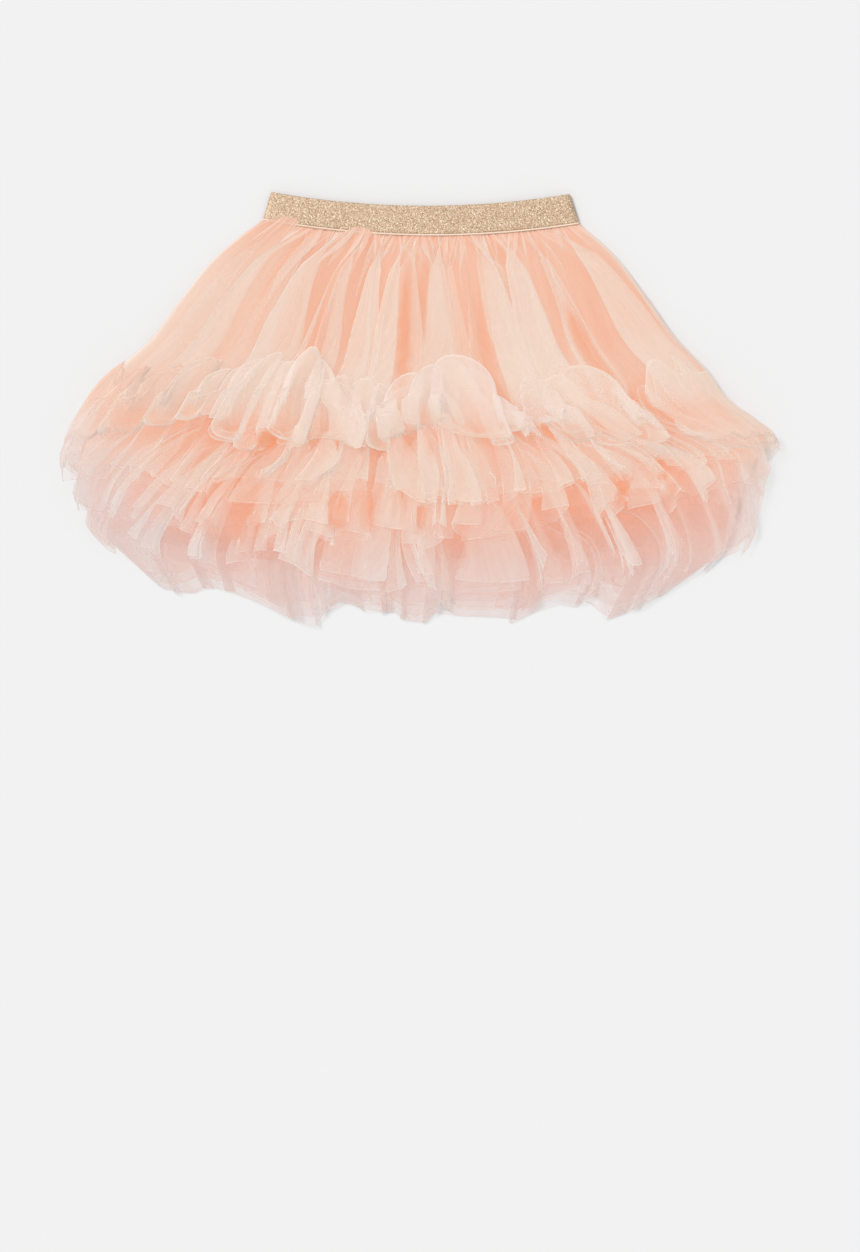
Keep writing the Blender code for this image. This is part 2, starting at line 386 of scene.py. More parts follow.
def softNormals(points, normal):
    # normals turned towards the side that each triangle shows, up or down
    corners = atCorners(points, np.roll(points, -1, axis=1)).reshape(-1, 3, 3)
    crossed = np.cross(corners[:, 1] - corners[:, 0], corners[:, 2] - corners[:, 0])
    facing = np.where(crossed[:, 2] < 0, -1.0, 1.0)[:, None]
    shading = atCorners(normal, np.roll(normal, -1, axis=1)).reshape(-1, 3, 3)
    shading[..., 2] = facing * (softShade + np.maximum(facing * shading[..., 2], 0))
    shading = shading / np.linalg.norm(shading, axis=-1, keepdims=True)
    return shading.reshape(-1, 3).tolist()


def clothPiece(name, grid, material):
    points = grid["points"]
    rows, columns = points.shape[:2]
    index = np.arange(rows * columns).reshape(rows, columns)
    triangles = atCorners(index, np.roll(index, -1, axis=1)).reshape(-1, 3)
    mesh = bpy.data.meshes.new(name)
    mesh.from_pydata(points.reshape(-1, 3).tolist(), [], triangles.tolist())
    u, v = grid["acrossM"], grid["downM"]
    here = np.stack(np.broadcast_arrays(u[None, :-1], v[:, None]), axis=-1)
    after = np.stack(np.broadcast_arrays(u[None, 1:], v[:, None]), axis=-1)
    layer = mesh.uv_layers.new(name="cloth")
    layer.data.foreach_set("uv", atCorners(here, after).ravel())
    for key in ("veil", "coral", "floorShadow"):
        values = mesh.attributes.new(key, "FLOAT", "POINT")
        values.data.foreach_set("value", grid[key].ravel().astype(np.float32))
    mesh.shade_smooth()
    mesh.normals_split_custom_set(softNormals(points, grid["normal"]))
    mesh.materials.append(material)
    piece = addObject(name, mesh)
    edgeA = points[:-1, :] - points[1:, :]
    edgeB = np.roll(points, -1, axis=1)[:-1] - points[:-1]
    area = np.linalg.norm(np.cross(edgeA, edgeB), axis=-1).sum()
    say(f"{name}: {len(triangles)} triangles, {area:.3f} m2, {u[-1]:.2f} x {v[-1]:.3f} m")
    return piece


def newGroup(name, inputs, outputs):
    # a shader node group with its named inputs and outputs
    group = bpy.data.node_groups.new(name, "ShaderNodeTree")
    for label, kind, value in inputs:
        socket = group.interface.new_socket(label, in_out="INPUT", socket_type="NodeSocket" + kind)
        if value is not None:
            socket.default_value = value
    for label, kind in outputs:
        group.interface.new_socket(label, in_out="OUTPUT", socket_type="NodeSocket" + kind)
    return group, group.nodes.new("NodeGroupInput").outputs, group.nodes.new("NodeGroupOutput").inputs


def newMaterial(name, values):
    # a plain material with these values on its shader
    material = bpy.data.materials.new(name)
    material.use_nodes = True
    shader = material.node_tree.nodes["Principled BSDF"]
    for label, value in values.items():
        shader.inputs[label].default_value = value
    return material, material.node_tree, shader.inputs


def addNode(tree, kind, inputs, **settings):
    # each input is either a fixed value or the output of another node
    node = tree.nodes.new(kind)
    for name, value in settings.items():
        setattr(node, name, value)
    for label, value in inputs.items():
        if isinstance(value, bpy.types.NodeSocket):
            tree.links.new(value, node.inputs[label])
        else:
            node.inputs[label].default_value = value
    return node.outputs


def mathNode(tree, operation, *values, clamp=False):
    return addNode(tree, "ShaderNodeMath", dict(enumerate(values)), operation=operation, use_clamp=clamp)[0]


def mixColour(tree, factor, first, second):
    return addNode(tree, "ShaderNodeMix", {0: factor, 6: first, 7: second}, data_type="RGBA")[2]


weave = {
    "streakScale": (170, 7, 1),  # streaks per metre across and down the cloth
    "streakDetail": 3,
    "netScale": 700,  # holes per metre
    "netUneven": 0.35,
    "threadWidth": 0.32,  # as a share of a hole
}


def makeTulleWeave(look):
    # fine long streaks down the cloth and the six-sided net of the tulle
    group, given, result = newGroup(
        "tulleWeave",
        [("Cloth", "Vector", None), ("Streaks", "Float", 0.3), ("Net", "Float", 0.15)],
        [("Density", "Float")],
    )
    stretch = {0: given["Cloth"], 1: look["streakScale"]}
    stretched = addNode(group, "ShaderNodeVectorMath", stretch, operation="MULTIPLY")[0]
    noise = {"Vector": stretched, "Scale": 1, "Detail": look["streakDetail"]}
    streaks = addNode(group, "ShaderNodeTexNoise", noise, noise_dimensions="2D")[0]
    holes = {"Vector": given["Cloth"], "Scale": look["netScale"], "Randomness": look["netUneven"]}
    net = addNode(group, "ShaderNodeTexVoronoi", holes, voronoi_dimensions="2D", feature="DISTANCE_TO_EDGE")
    threads = mathNode(group, "SUBTRACT", look["threadWidth"], net["Distance"])
    threads = mathNode(group, "MULTIPLY", threads, given["Net"])
    streaks = mathNode(group, "SUBTRACT", streaks, 0.5)
    streaks = mathNode(group, "MULTIPLY", streaks, given["Streaks"])
    total = mathNode(group, "ADD", streaks, threads)
    group.links.new(mathNode(group, "ADD", total, 1.0), result["Density"])
    return group


clothColours = {
    # whiter cloth, for the painted highlights
    "bright": (0.86, 0.71, 0.66, 1),
    "pale": (0.81, 0.645, 0.545, 1),
    "coral": (0.84, 0.32, 0.165, 1),
    "ruffleCoral": (0.83, 0.33, 0.205, 1),
    # the cloth over the painted floor shadow, plain and coral
    "shadowGrey": (0.73, 0.635, 0.605, 1),
    "shadowCoral": (0.76, 0.47, 0.40, 1),
}


def makeTulle(name, group, look):
    material, tree, shader = newMaterial(name, {
        "Roughness": 1.0,
        "Specular IOR Level": 0.08,
        "Sheen Weight": look["sheen"],
        "Sheen Roughness": 0.5,
    })
    cloth = addNode(tree, "ShaderNodeUVMap", {}, uv_map="cloth")[0]
    threads = {"Cloth": cloth, "Streaks": look["streaks"], "Net": look["net"]}
    density = addNode(tree, "ShaderNodeGroup", threads, node_tree=group)["Density"]
    veil, coral, floorShadow = (
        addNode(tree, "ShaderNodeAttribute", {}, attribute_name=key)["Fac"]
        for key in ("veil", "coral", "floorShadow")
    )
    # below zero the coral value makes the cloth whiter, toward the bright colour; this is where the painted
    # highlights along steep fold edges go
    deeper = mathNode(tree, "ADD", coral, 0.0, clamp=True)
    whiter = mathNode(tree, "MULTIPLY", coral, -1.0, clamp=True)
    pale = mixColour(tree, whiter, clothColours["pale"], clothColours["bright"])
    warm = mixColour(tree, deeper, pale, clothColours[look["coral"]])
    # painted shadow of the floor seen through the sheer cloth: greyer towards the hem and the far sides
    shadowGrey = mixColour(tree, whiter, clothColours["shadowGrey"], clothColours["bright"])
    shadowed = mixColour(tree, deeper, shadowGrey, clothColours["shadowCoral"])
    tree.links.new(mixColour(tree, floorShadow, warm, shadowed), shader["Base Color"])
    seen = mathNode(tree, "MULTIPLY", veil, density, clamp=True)
    # light goes through the net far more than the eye does
    path = addNode(tree, "ShaderNodeLightPath", {})
    shadow = mathNode(tree, "MULTIPLY", path["Is Shadow Ray"], look["shadowLets"])
    diffuse = mathNode(tree, "MULTIPLY", path["Is Diffuse Ray"], look["lightLets"])
    kept = mathNode(tree, "SUBTRACT", 1.0, mathNode(tree, "MAXIMUM", shadow, diffuse))
    tree.links.new(mathNode(tree, "MULTIPLY", seen, kept), shader["Alpha"])
    return material


tulleWeave = makeTulleWeave(weave)
sheerTulle = makeTulle("sheerTulle", tulleWeave, {
    "coral": "coral", "streaks": 0.8, "net": 0.2, "sheen": 0.05, "shadowLets": 0.93, "lightLets": 0.93,
})
ruffleTulle = makeTulle("ruffleTulle", tulleWeave, {
    "coral": "ruffleCoral", "streaks": 0.7, "net": 0.2, "sheen": 0.05, "shadowLets": 0.92, "lightLets": 0.93,
})
liningTulle = makeTulle("liningTulle", tulleWeave, {
    "coral": "ruffleCoral", "streaks": 0.7, "net": 0.2, "sheen": 0.05, "shadowLets": 0.3, "lightLets": 0.85,
})
coralTulle = makeTulle("coralTulle", tulleWeave, {
    "coral": "coral", "streaks": 0.3, "net": 0.1, "sheen": 0.0, "shadowLets": 0.3, "lightLets": 0.85,
})
say("finishes made")


def rowsToward(count, power):
    # row places from 0 to 1, closer towards the end, with one more just above it
    places = 1 - (1 - np.linspace(0, 1, count)) ** power
    return sorted(set(np.round(np.concatenate([places[:-1], [0.982, 1.0]]), 4)))


# The columns of a profile, from the seam (at 0) to the hem (at 1). drop: distance below the waist; lift and
# back: height of the front and of the back; open: how far the folds are free of the seam; free: how freely
# the hem moves; gather: how much the small gathers show; coral: how coral the cloth is; dense: how dense;
# wide: how far it stands out at the sides; arch and sag: how far folds raise a crest or let a puff hang; lobe
# and pleat: how much of the large and the small folds shows; fan: how they spread; slide: how far they lean.
plainLine = {
    "free": 0, "gather": 0, "coral": 0, "dense": 1, "wide": 0, "arch": 0, "sag": 0, "lobe": 1, "pleat": 1,
    "fan": 0,
}


def profileOf(columns, lines):
    named = [dict(zip(columns.split(), line)) for line in lines]
    return [{**plainLine, "slide": line["at"], **line} for line in named]


# Every ply starts from these, and its own dictionary changes what differs. A gap is where the cloth is thin
# and coral shows through: share of the half width, half its width there, distance below the waist, half its
# height, how much thinner.
commonPly = {
    "gaps": [],
    "rims": [],
    "creases": [],
    "hemShape": [(-1, 0), (1, 0)],
    "ply": 0,
    "wobble": 3.0,
    "bump": 0.15,
    "hemWave": 0.25,
    "edge": 3.0,
    "streak": 0.12,
    "steepest": 0.38,
    "hemEdge": 1.2,
    "hemShow": 0.9,
    "hollowShade": 0.4,
    "between": 0.7,
    "edgeHighlight": 1.2,
    "floorShadowFrom": 202,
    "sideFloorShadow": [(-1, 75), (-0.88, 64), (-0.75, 40), (-0.6, 12), (-0.4, 0), (0.7, 0), (0.88, 14), (1, 45)],
    "calm": 0.8,
    "edgeTurn": 0.7,
    "gatherShow": 0.6,
    "foldThin": 0.3,
    "gathers": {"front": 56, "back": 30, "swing": (0.15, 0.4), "stand": (0.4, 1.0), "long": (0.6, 3)},
}

# how coral the underskirt is above the ruffles, from side to side
underTone = [(-1, 0.4), (-0.8, 0.55), (-0.6, 0.8), (-0.4, 1), (0.85, 1), (1, 0.7)]
underskirt = {
    **commonPly,
    "seed": 5,
    "fullness": 1.1,
    "frontStep": 1.8,
    "backStep": 4.0,
    "lobes": {"front": 9, "back": 7, "swing": (0.05, 0.15), "stand": (0.6, 1.4)},
    "pleats": {"front": 22, "back": 14, "swing": (0.08, 0.16), "stand": (0.4, 0.9), "reach": (-5, 5)},
    "wobble": 1.0,
    "bump": 0.4,
    "hemWave": 2.0,
    "veil": 0.995,
    "edge": 0.0,
    "foldThin": 0.0,
    "streak": 0.0,
    "steepest": 0.5,
    "hollowShade": 0.12,
    "floorShadowFrom": 200,
    "rows": list(np.linspace(0, 1, 36)),
    "profile": profileOf("at drop lift back open free gather coral dense wide", [
        (0, 1, 3.2, 1.7, 0.2, 0, 1, 0.9, 1, 0),
        (0.12, 27, 5.4, 2.0, 0.8, 0, 0.3, underTone, 1, 0),
        (0.5, 117, 8, 3.0, 1, 0, 0, underTone, 1, 0),
        (0.78, 181, 10.5, 5.0, 1, 0, 0, 1, 1, (-8, 0, -6)),
        (0.93, 222, 8.5, 4.0, 1, 1, 0, 1, 0.95, (-12, 0, -10)),
        (1, 243, 6, 3.0, 1, 1, 0, 0.9, 0.2, (-14, 0, -14)),
    ]),
}


overFolds = {
    "front": [0.25, 0.24, 0.29, 0.12, 0.21, 0.24, 0.15, 0.32, 0.18],  # widths, left to right
    "hand": {
        "swing": [0.4, 0.5, 0.52, 0.5, 0.5, 0.5, 0.5, 0.62, 0.45],
        "lap": [1, 1, 1, -1, 1, -1, 1, 1, 1],
        "skew": [0.4, 0.5, -0.4, 0.7, 0.5, -0.7, 0.6, -0.3, 0.4],
    },
}
# the small folds over the band's lower edge at the left: how far up they reach, and how high they stand
overEdge = [(-1, 0.3), (-0.93, 0), (-0.88, -6), (-0.80, -4.5), (-0.74, 0.3), (-0.46, 0.3), (-0.40, -4),
            (-0.33, -2.5), (-0.28, 0.3), (1, 0.3)]
overStand = [(-1, 3.4), (-0.93, 4.6), (-0.90, 6), (-0.80, 5.6), (-0.74, 3.6), (-0.47, 3.6), (-0.41, 5.8),
             (-0.33, 5.4), (-0.27, 3.6), (1, 3.4)]


def overPly(ply, veil, lift):
    return {
        **commonPly,
        "seed": 11,
        "ply": ply,
        "fullness": 2.4,
        "frontStep": 1.9,
        "backStep": 5.0,
        "lobes": {
            "front": 9, "back": 9, "swing": (0.35, 0.5), "stand": (1.4, 3.0), "skew": (-0.8, 0.8),
            "twist": (-0.5, 0.5), **(overFolds if ply == 0 else {}),
        },
        "pleats": {
            "front": 20, "back": 14, "swing": (0.03, 0.42), "skew": (-0.8, 0.8), "stand": (0.4, 1.2),
            "lean": (-4, 4), "uneven": 0.9,
        },
        "gathers": {"front": 58, "back": 24, "swing": (0.25, 0.6), "stand": (0.3, 0.9), "long": (0.5, 3)},
        "gatherShow": 1.5,
        "edge": 5.0,
        "edgeTurn": 0.85,
        "calm": 0.2,
        "hemWave": 0.0,
        "veil": veil,
        "hollowShade": 0.3,
        "between": 0.2,
        "foldThin": 0.15,
        "floorShadowFrom": 260,
        "rows": list(np.linspace(0, 1, 40) ** 1.2),
        "gaps": [
            (-0.64, 0.05, 26, 50, 0.45),
            (-0.86, 0.06, 24, 30, 0.3),
            (-0.74, 0.2, 85, 60, 0.2),
            (-0.04, 0.034, 85, 90, 0.75),
            (-0.36, 0.03, 95, 60, 0.5),
            (0.63, 0.05, 100, 60, 0.75),
            (0.27, 0.03, 100, 60, 0.4),
        ],
        "creases": [
            {"share": 0.42, "wide": 0.13, "drop": 96, "half": 1.6, "slope": 10, "stand": 1.2, "show": 1.0},
        ],
        "profile": profileOf("at drop lift back open gather coral dense", [
            (0, overEdge, overStand, 0.6, 0.08, 1, 0.4, 1.7),
            (0.07, 9, 5.6 + lift, 0.6, 0.35, 1, 0.25, 1.4),
            (0.2, 27, 7.6 + lift, 0.6, 0.75, 0.45, 0.1, 1.1),
            (0.6, 80, 9.6 + lift, 0.7, 1, 0, 0.05, 1),
            (0.88, 122, 11 + lift, 0.8, 1, 0, 0.1, 1),
            (1, 146, 12 + lift, 0.8, 0.8, 0.4, 0.3, 0.1),
        ]),
    }


# how much denser the ruffles look towards the sides, where their layers run together
sideDense = [(-1, 1.5), (-0.8, 1.25), (-0.62, 1), (0.55, 1), (0.75, 1.5), (1, 1.6)]


def tierPly(tier, ply, hemMore, veil):
    # seam, middle and hem are each (drop, front height, back height); hemMore lengthens this ply
    seam, middle, hem = tier["seam"], tier["middle"], tier["hem"]
    lower, upper = 0.7 * ply, 1.2 * ply  # the next ply down lies this much lower, at the seam and beyond it
    # the tone runs from seam to hem: the coral near the seam, under the tier above, is partly the coral of
    # the inner plies and partly painted shade under that tier
    tone = []
    for value in tier["tone"]:
        aside = value * (1 - tier["sideTone"])
        tone.append([(-1, aside), (-0.78, aside), (-0.5, value), (0.7, value), (1, aside)])
    between = [(s, (a + b) / 2) for (s, a), (s, b) in zip(tone[1], tone[2])]
    wide, wideHem = tier["wideMiddle"], tier["wideHem"]
    profile = profileOf("at drop lift back open free gather coral dense wide fan", [
        (0, seam[0] - 2 * ply, seam[1] - lower, seam[2] + 0.3 * ply, 0.3, 0, 1, tone[0], 0.1, 0, -0.2),
        (0.25, seam[0] * 0.7 + middle[0] * 0.3, middle[1] - upper, middle[2],
         0.65, 0.2, 0.5, tone[1], sideDense, wide, 0.02),
        (0.6, middle[0] + hemMore * 0.5, (middle[1] + hem[1]) / 2 - upper, middle[2],
         0.9, 0.6, 0.15, between, sideDense, wide, 0.22),
        (1, hem[0] + hemMore, hem[1] - upper, hem[2] + 0.1 * ply, 1, 1, 0, tone[2], sideDense, wideHem, 0.4),
    ])
    return {**tier, "ply": ply, "veil": veil, "profile": profile}


tierLobes = {
    "back": 7, "swing": (0.04, 0.26), "skew": (-1, 1), "twist": (-1, 1), "stand": (0.8, 2.0),
    "reach": (-9, 9), "tilt": (-6, 6), "lean": (-10, 10), "uneven": 0.7,
}
tierPleats = {
    "back": 16, "swing": (0.34, 0.64), "skew": (-0.8, 0.8), "twist": (-0.6, 0.6), "stand": (0.5, 1.2),
    "curl": (-3, 5), "reach": (-6, 6), "tilt": (-4, 4), "lean": (-5, 5), "uneven": 0.7,
}
tierGaps = [
    (-0.22, 0.05, 206, 24, 0.8),
    (-0.14, 0.035, 208, 22, 0.7),
    (0.01, 0.02, 212, 18, 0.8),
    (-0.45, 0.03, 208, 14, 0.7),
    (0.56, 0.025, 205, 22, 0.8),
    (0.70, 0.03, 218, 20, 0.7),
    (0.66, 0.04, 190, 24, 0.6),
    (-0.58, 0.04, 226, 16, 0.7),
    (0.12, 0.03, 240, 14, 0.6),
]
headGaps = [
    (-0.43, 0.045, 155, 13, 0.85),
    (-0.52, 0.03, 146, 10, 0.6),
    (0.04, 0.03, 160, 16, 0.6),
    (0.60, 0.02, 172, 22, 0.7),
    (0.365, 0.045, 140, 36, 0.9),
    (0.705, 0.035, 126, 28, 0.9),
    (-0.205, 0.022, 120, 22, 0.8),
    (0.725, 0.04, 152, 20, 0.85),
    (-0.86, 0.1, 140, 22, 0.35),
]
tierShape = {
    **commonPly, "fullness": 2.6, "frontStep": 1.9, "backStep": 6.0, "rows": rowsToward(20, 1.2),
    "hemShow": 0.7, "edge": 2.0, "edgeHighlight": 0.9, "between": 1.1, "foldThin": 0.5, "sideTone": 0.25,
}
topTier = {
    **tierShape, "seed": 14, "seam": (141, 15, 1.5), "middle": (168, 20, 1.2), "hem": (196, 17.5, 0.7),
    "tone": (0.6, 0.25, 0.05), "sideTone": 0.8, "wideMiddle": (4, 1), "wideHem": (5, 6),
    "gaps": [(-0.43, 0.04, 155, 14, 0.8)],
    "lobes": {**tierLobes, "front": 11}, "pleats": {**tierPleats, "front": 26},
}
secondTier = {
    **tierShape, "seed": 21, "seam": (157, 14, 2), "middle": (193, 17.5, 1.5), "hem": (221, 14.5, 0.7),
    "tone": (0.6, 0.3, 0.05), "wideMiddle": (-8, 0, -8), "wideHem": (0, 7), "gaps": tierGaps,
    "lobes": {**tierLobes, "front": 9}, "pleats": {**tierPleats, "front": 24},
}
thirdTier = {
    **tierShape, "seed": 31, "seam": (184, 13, 2.5), "middle": (224, 13.5, 1.8), "hem": (257, 9.5, 0.8),
    "tone": (0.9, 0.5, 0.18), "sideTone": 0.5, "wideMiddle": (-9, 0, -8), "wideHem": (-1, 5),
    "gaps": tierGaps, "lobes": {**tierLobes, "front": 9},
    "pleats": {**tierPleats, "front": 33, "swing": (0.4, 0.66), "uneven": 0.8},
}
# the skirt's lower edge: how far it lies below the waist, less what the lowest ruffle reaches anyway
lowestHem = [(s, d - 284) for s, d in [
    (-1.0, 259), (-0.96, 268), (-0.93, 290), (-0.84, 291), (-0.77, 288), (-0.69, 279), (-0.60, 281),
    (-0.51, 288), (-0.47, 294), (-0.36, 295), (-0.28, 281), (-0.23, 274), (-0.18, 284), (-0.08, 282),
    (-0.03, 290), (0.03, 289), (0.08, 278), (0.13, 284), (0.30, 287), (0.35, 289), (0.43, 275), (0.55, 282),
    (0.58, 276), (0.67, 297), (0.79, 291), (0.86, 278), (0.90, 262), (0.95, 279), (0.97, 262), (1.0, 250)]]
lowestTier = {
    **tierShape, "seed": 41, "seam": (218, 12, 3), "middle": (248, 9, 2), "hem": (284, 5.5, 0.7),
    "tone": (1, 0.8, 0.42), "sideTone": 0.7, "wideMiddle": (-11, 0, -14), "wideHem": (-10, 0, -14),
    "fullness": 1.7, "hemShape": lowestHem, "hemWave": 0.4,
    "lobes": {
        "front": [0.07, 0.23, 0.45, 0.17, 0.14, 0.36, 0.19, 0.27, 0.12], "back": 8, "swing": (0.15, 0.25),
        "stand": (0.8, 1.6),
        "hand": {
            "swing": [0.2, 0.2, 0.18, 0.2, 0.24, 0.18, 0.2, 0.22, 0.2],
            "lap": [1, 1, -1, 1, -1, -1, 1, 1, -1],
        },
    },
    "pleats": {
        "front": 17, "back": 14, "swing": (0.1, 0.4), "stand": (0.4, 1.0), "curl": (-1, 2), "reach": (-2, 2),
        "tilt": (-1.5, 1.5), "uneven": 0.8,
    },
}

# the top and the foot of the puffs over the front, and how far the top ruffle's hem hangs below its mean
crestLine = [
    (-1, 122), (-0.93, 120), (-0.80, 117), (-0.74, 119), (-0.68, 112), (-0.60, 114), (-0.50, 106),
    (-0.42, 108), (-0.34, 104), (-0.25, 120), (-0.20, 136), (-0.15, 117), (-0.10, 121), (-0.07, 126),
    (0.0, 116), (0.08, 110), (0.17, 108), (0.23, 114), (0.28, 127), (0.33, 141), (0.37, 138), (0.41, 122),
    (0.47, 127), (0.55, 122), (0.63, 128), (0.70, 144), (0.76, 128), (0.84, 120), (0.95, 130), (1, 136)]
puffLine = [
    (-1, 160), (-0.87, 158), (-0.80, 153), (-0.72, 146), (-0.65, 141), (-0.60, 136), (-0.55, 140),
    (-0.52, 144), (-0.485, 160), (-0.465, 161), (-0.44, 148), (-0.41, 143), (-0.37, 156), (-0.34, 157),
    (-0.31, 145), (-0.25, 150), (-0.20, 158), (-0.16, 150), (-0.09, 159), (-0.05, 144), (0.06, 137),
    (0.13, 137), (0.19, 155), (0.23, 157), (0.27, 146), (0.33, 138), (0.37, 144), (0.42, 153), (0.47, 148),
    (0.52, 160), (0.57, 164), (0.61, 150), (0.66, 146), (0.69, 152), (0.78, 164), (0.86, 170), (1, 174)]
topHem = [
    (-1, 0), (-0.76, 0), (-0.65, 8), (-0.5, -4), (-0.34, -2), (-0.23, -4), (-0.11, -2), (0, 14),
    (0.145, 18), (0.29, 14), (0.4, 8), (0.52, 6), (0.63, -4), (0.8, 4), (1, -2)]
# how far above the foot of each puff the stitching pulls the cloth; below nothing the cloth runs on down
tuck = [
    (-1, -4), (-0.75, -3), (-0.62, 3), (-0.50, 4), (-0.40, 5), (-0.36, -3), (-0.28, -4), (-0.24, 4),
    (-0.12, 5), (-0.07, -4), (0.10, -5), (0.15, 3), (0.25, 5), (0.36, 4), (0.42, -4), (0.50, -4), (0.55, 4),
    (0.76, 4), (0.84, -3), (1, -4)]
seamLine = [(s, d - up) for (s, d), up in zip(puffLine, tableAt(tuck, [s for s, d in puffLine]))]
# how coral the cloth is just under the puffs, painted shade under them; how dense the puffs look and how
# coral they are
underPuffShade = [
    (-1, 0.15), (-0.72, 0.2), (-0.62, 0.5), (-0.55, 0.9), (-0.50, 0.5), (-0.43, 1), (-0.38, 0.6),
    (-0.33, -0.1), (-0.28, 0.2), (-0.15, 0.4), (-0.08, 0.6), (-0.02, 0.2), (0.02, -0.3), (0.12, -0.3),
    (0.17, 0.1), (0.25, 0.3), (0.33, 0.5), (0.4, 0.2), (0.44, -0.2), (0.5, -0.2), (0.55, 0.4), (0.6, 1),
    (0.68, 0.7), (0.78, 0.2), (0.9, 0.05), (1, 0.05)]
crestDense = [(-1, 1.6), (-0.7, 1.2), (-0.4, 1.4), (0, 1.7), (0.3, 1.7), (0.6, 1.5), (0.8, 1.5), (1, 1.9)]
crestTone = [
    (-1, 0.3), (-0.8, 0.25), (-0.7, 0.05), (-0.5, -0.2), (0, -0.25), (0.1, -0.5), (0.3, -0.5), (0.45, -0.2),
    (0.7, -0.2), (1, 0)]
crestLobes = {
    "front": [0.14, 0.105, 0.095, 0.085, 0.09, 0.075, 0.08, 0.145, 0.07, 0.055, 0.145, 0.17, 0.095, 0.09,
              0.20, 0.06, 0.26, 0.04],
    "back": 12, "swing": (0.3, 0.5), "skew": (-0.6, 0.6), "stand": (1.5, 3), "twist": (-2, 2),
    "arch": (3, 9), "archTilt": (-4, 6), "curl": (-3, 3), "tilt": (-8, 8), "reach": (-6, 8), "lean": (-5, 5),
    "hand": {
        "twist": [0, -0.6, -0.9, 1, -1.2, 1.2, 1.5, 2.2, 1, -1, 1.2, 1.5, 0, -1.2, 2.0, 0, -0.6, 0],
        "lean": [-6, -8, -6, 0, 2, 4, 10, 14, -6, -4, -8, 0, 0, 6, 12, -4, 2, 2],
        "swing": [0.2, 0.3, 0.34, 0.42, 0.44, 0.42, 0.46, 0.44, 0.42, 0.4, 0.4, 0.4, 0.1, 0.4, 0.44, 0.1,
                  0.3, 0.3],
        "lap": [1, 1, 1, 1, 1, -1, 1, -1, -1, 1, 1, -1, 1, 1, -1, 1, 1, 1],
        "stand": [1, 1.5, 2, 2, 2, 1.8, 3, 3, 1.5, 1.5, 2.5, 3.5, 0.3, 2, 3.5, 0.4, 2, 1],
        "arch": [2, 4, 5, 7, 8, 6, 14, 8, 7, 6, 9, 12, 0, 7, 13, 0, 9, 4],
        "archTilt": [0, -1, -2, -3, -2, 2, 0, 6, 2, 3, -4, 3, 0, 3, 4, 0, -3, 0],
    },
}


def headedPly(ply, veil, lift, inset):
    # from the seam up inside the heading, over its crest, down into the puff, back to the seam, to the hem
    hemDrop = 184
    crest = [(s, d + inset) for s, d in crestLine]
    inside, outside = [(s, d + 14) for s, d in crest], [(s, d + 11) for s, d in crest]
    foot = tableAt(puffLine, [s for s, d in crest])
    puff = [(s, 0.45 * low + 0.55 * top) for (s, top), low in zip(crest, foot)]
    panel = [(s, 0.5 * d + 0.5 * hemDrop) for s, d in seamLine]
    # the painted shade under the puffs, weaker on the panels further down
    panelShade = [(s, 0.6 * c) for s, c in underPuffShade]
    columns = "at drop lift back open free gather coral dense wide arch sag lobe pleat fan slide"
    return {
        **commonPly,
        "seed": 1,
        "ply": ply,
        "fullness": 2.8,
        "frontStep": 1.9,
        "backStep": 6.0,
        "lobes": crestLobes,
        "pleats": {
            "front": 38, "back": 18, "swing": (0.3, 0.62), "skew": (-0.9, 0.9), "twist": (-1, 1),
            "stand": (0.8, 2.2), "curl": (-2, 4), "reach": (-6, 6), "tilt": (-4, 4), "lean": (-5, 5),
            "uneven": 0.8, "arch": (2, 14), "archTilt": (-4, 4),
        },
        "bump": 0.4,
        "hemWave": 0.4,
        "hemShape": topHem,
        "veil": veil,
        "hollowShade": 0.3,
        "between": 0.3,
        "streak": 0.04,
        "edge": 4.0,
        "edgeHighlight": 1.0,
        "rims": [{"at": 0.235, "half": 0.022, "show": 2.5}, {"at": 0.53, "half": 0.02, "show": 0.4}],
        "gaps": headGaps,
        "rows": [
            0, 0.05, 0.1, 0.14, 0.17, 0.195, 0.215, 0.23, 0.245, 0.26, 0.28, 0.31, 0.35, 0.39, 0.43, 0.47,
            0.5, 0.52, 0.54, 0.56, 0.58, 0.61, 0.65, 0.7, 0.75, 0.8, 0.85, 0.9, 0.94, 0.97, 0.985, 1.0,
        ],
        "profile": profileOf(columns, [
            (0, 140, 12 + lift, 0.5, 0.2, 0, 1, 0.3, 0.05, 0, 0, 0.3, 1, 0.7, 0, 0),
            (0.14, inside, 14 + lift, 0.5, 0.6, 0, 0.3, 0.1, 0.8, 2, 0.7, 0, 1, 0.8, 0, 0),
            (0.235, crest, 19 + lift, 0.6, 0.9, 0, 0, crestTone, 1.5, 2, 1, 0, 1, 0.8, 0, 0),
            (0.33, outside, 25 + lift, 0.8, 0.9, 0, 0, crestTone, crestDense, (11, 4, 3),
             0.6, 0, 1, 0.8, 0, 0.5),
            (0.44, puff, 27 + lift, 0.8, 0.9, 0, 0, crestTone, crestDense, (13, 4, 4),
             0, 0.15, 1, 0.85, 0.05, 0.85),
            (0.53, puffLine, 25 + lift, 0.8, 0.75, 0, 0.3, 0.05, crestDense, (10, 4, 4),
             0, 0.4, 1, 1, 0.1, 1),
            (0.60, seamLine, 21 + lift, 0.8, 0.45, 0.1, 0.8, underPuffShade, 1, (9, 4, 2), 0, 0.4, 0.8, 1, 0.1, 0.8),
            (0.78, panel, 22 + lift, 0.8, 0.9, 0.5, 0.2, panelShade, 1, (8, 4, 3), 0, 0, 0.6, 1, 0.15, 0.6),
            (1, hemDrop + inset, 18 + lift, 0.6, 1, 1, 0, 0, 1, (6, 4, 3), 0, 0, 0.25, 1, 0.3, 0.6),
        ]),
    }


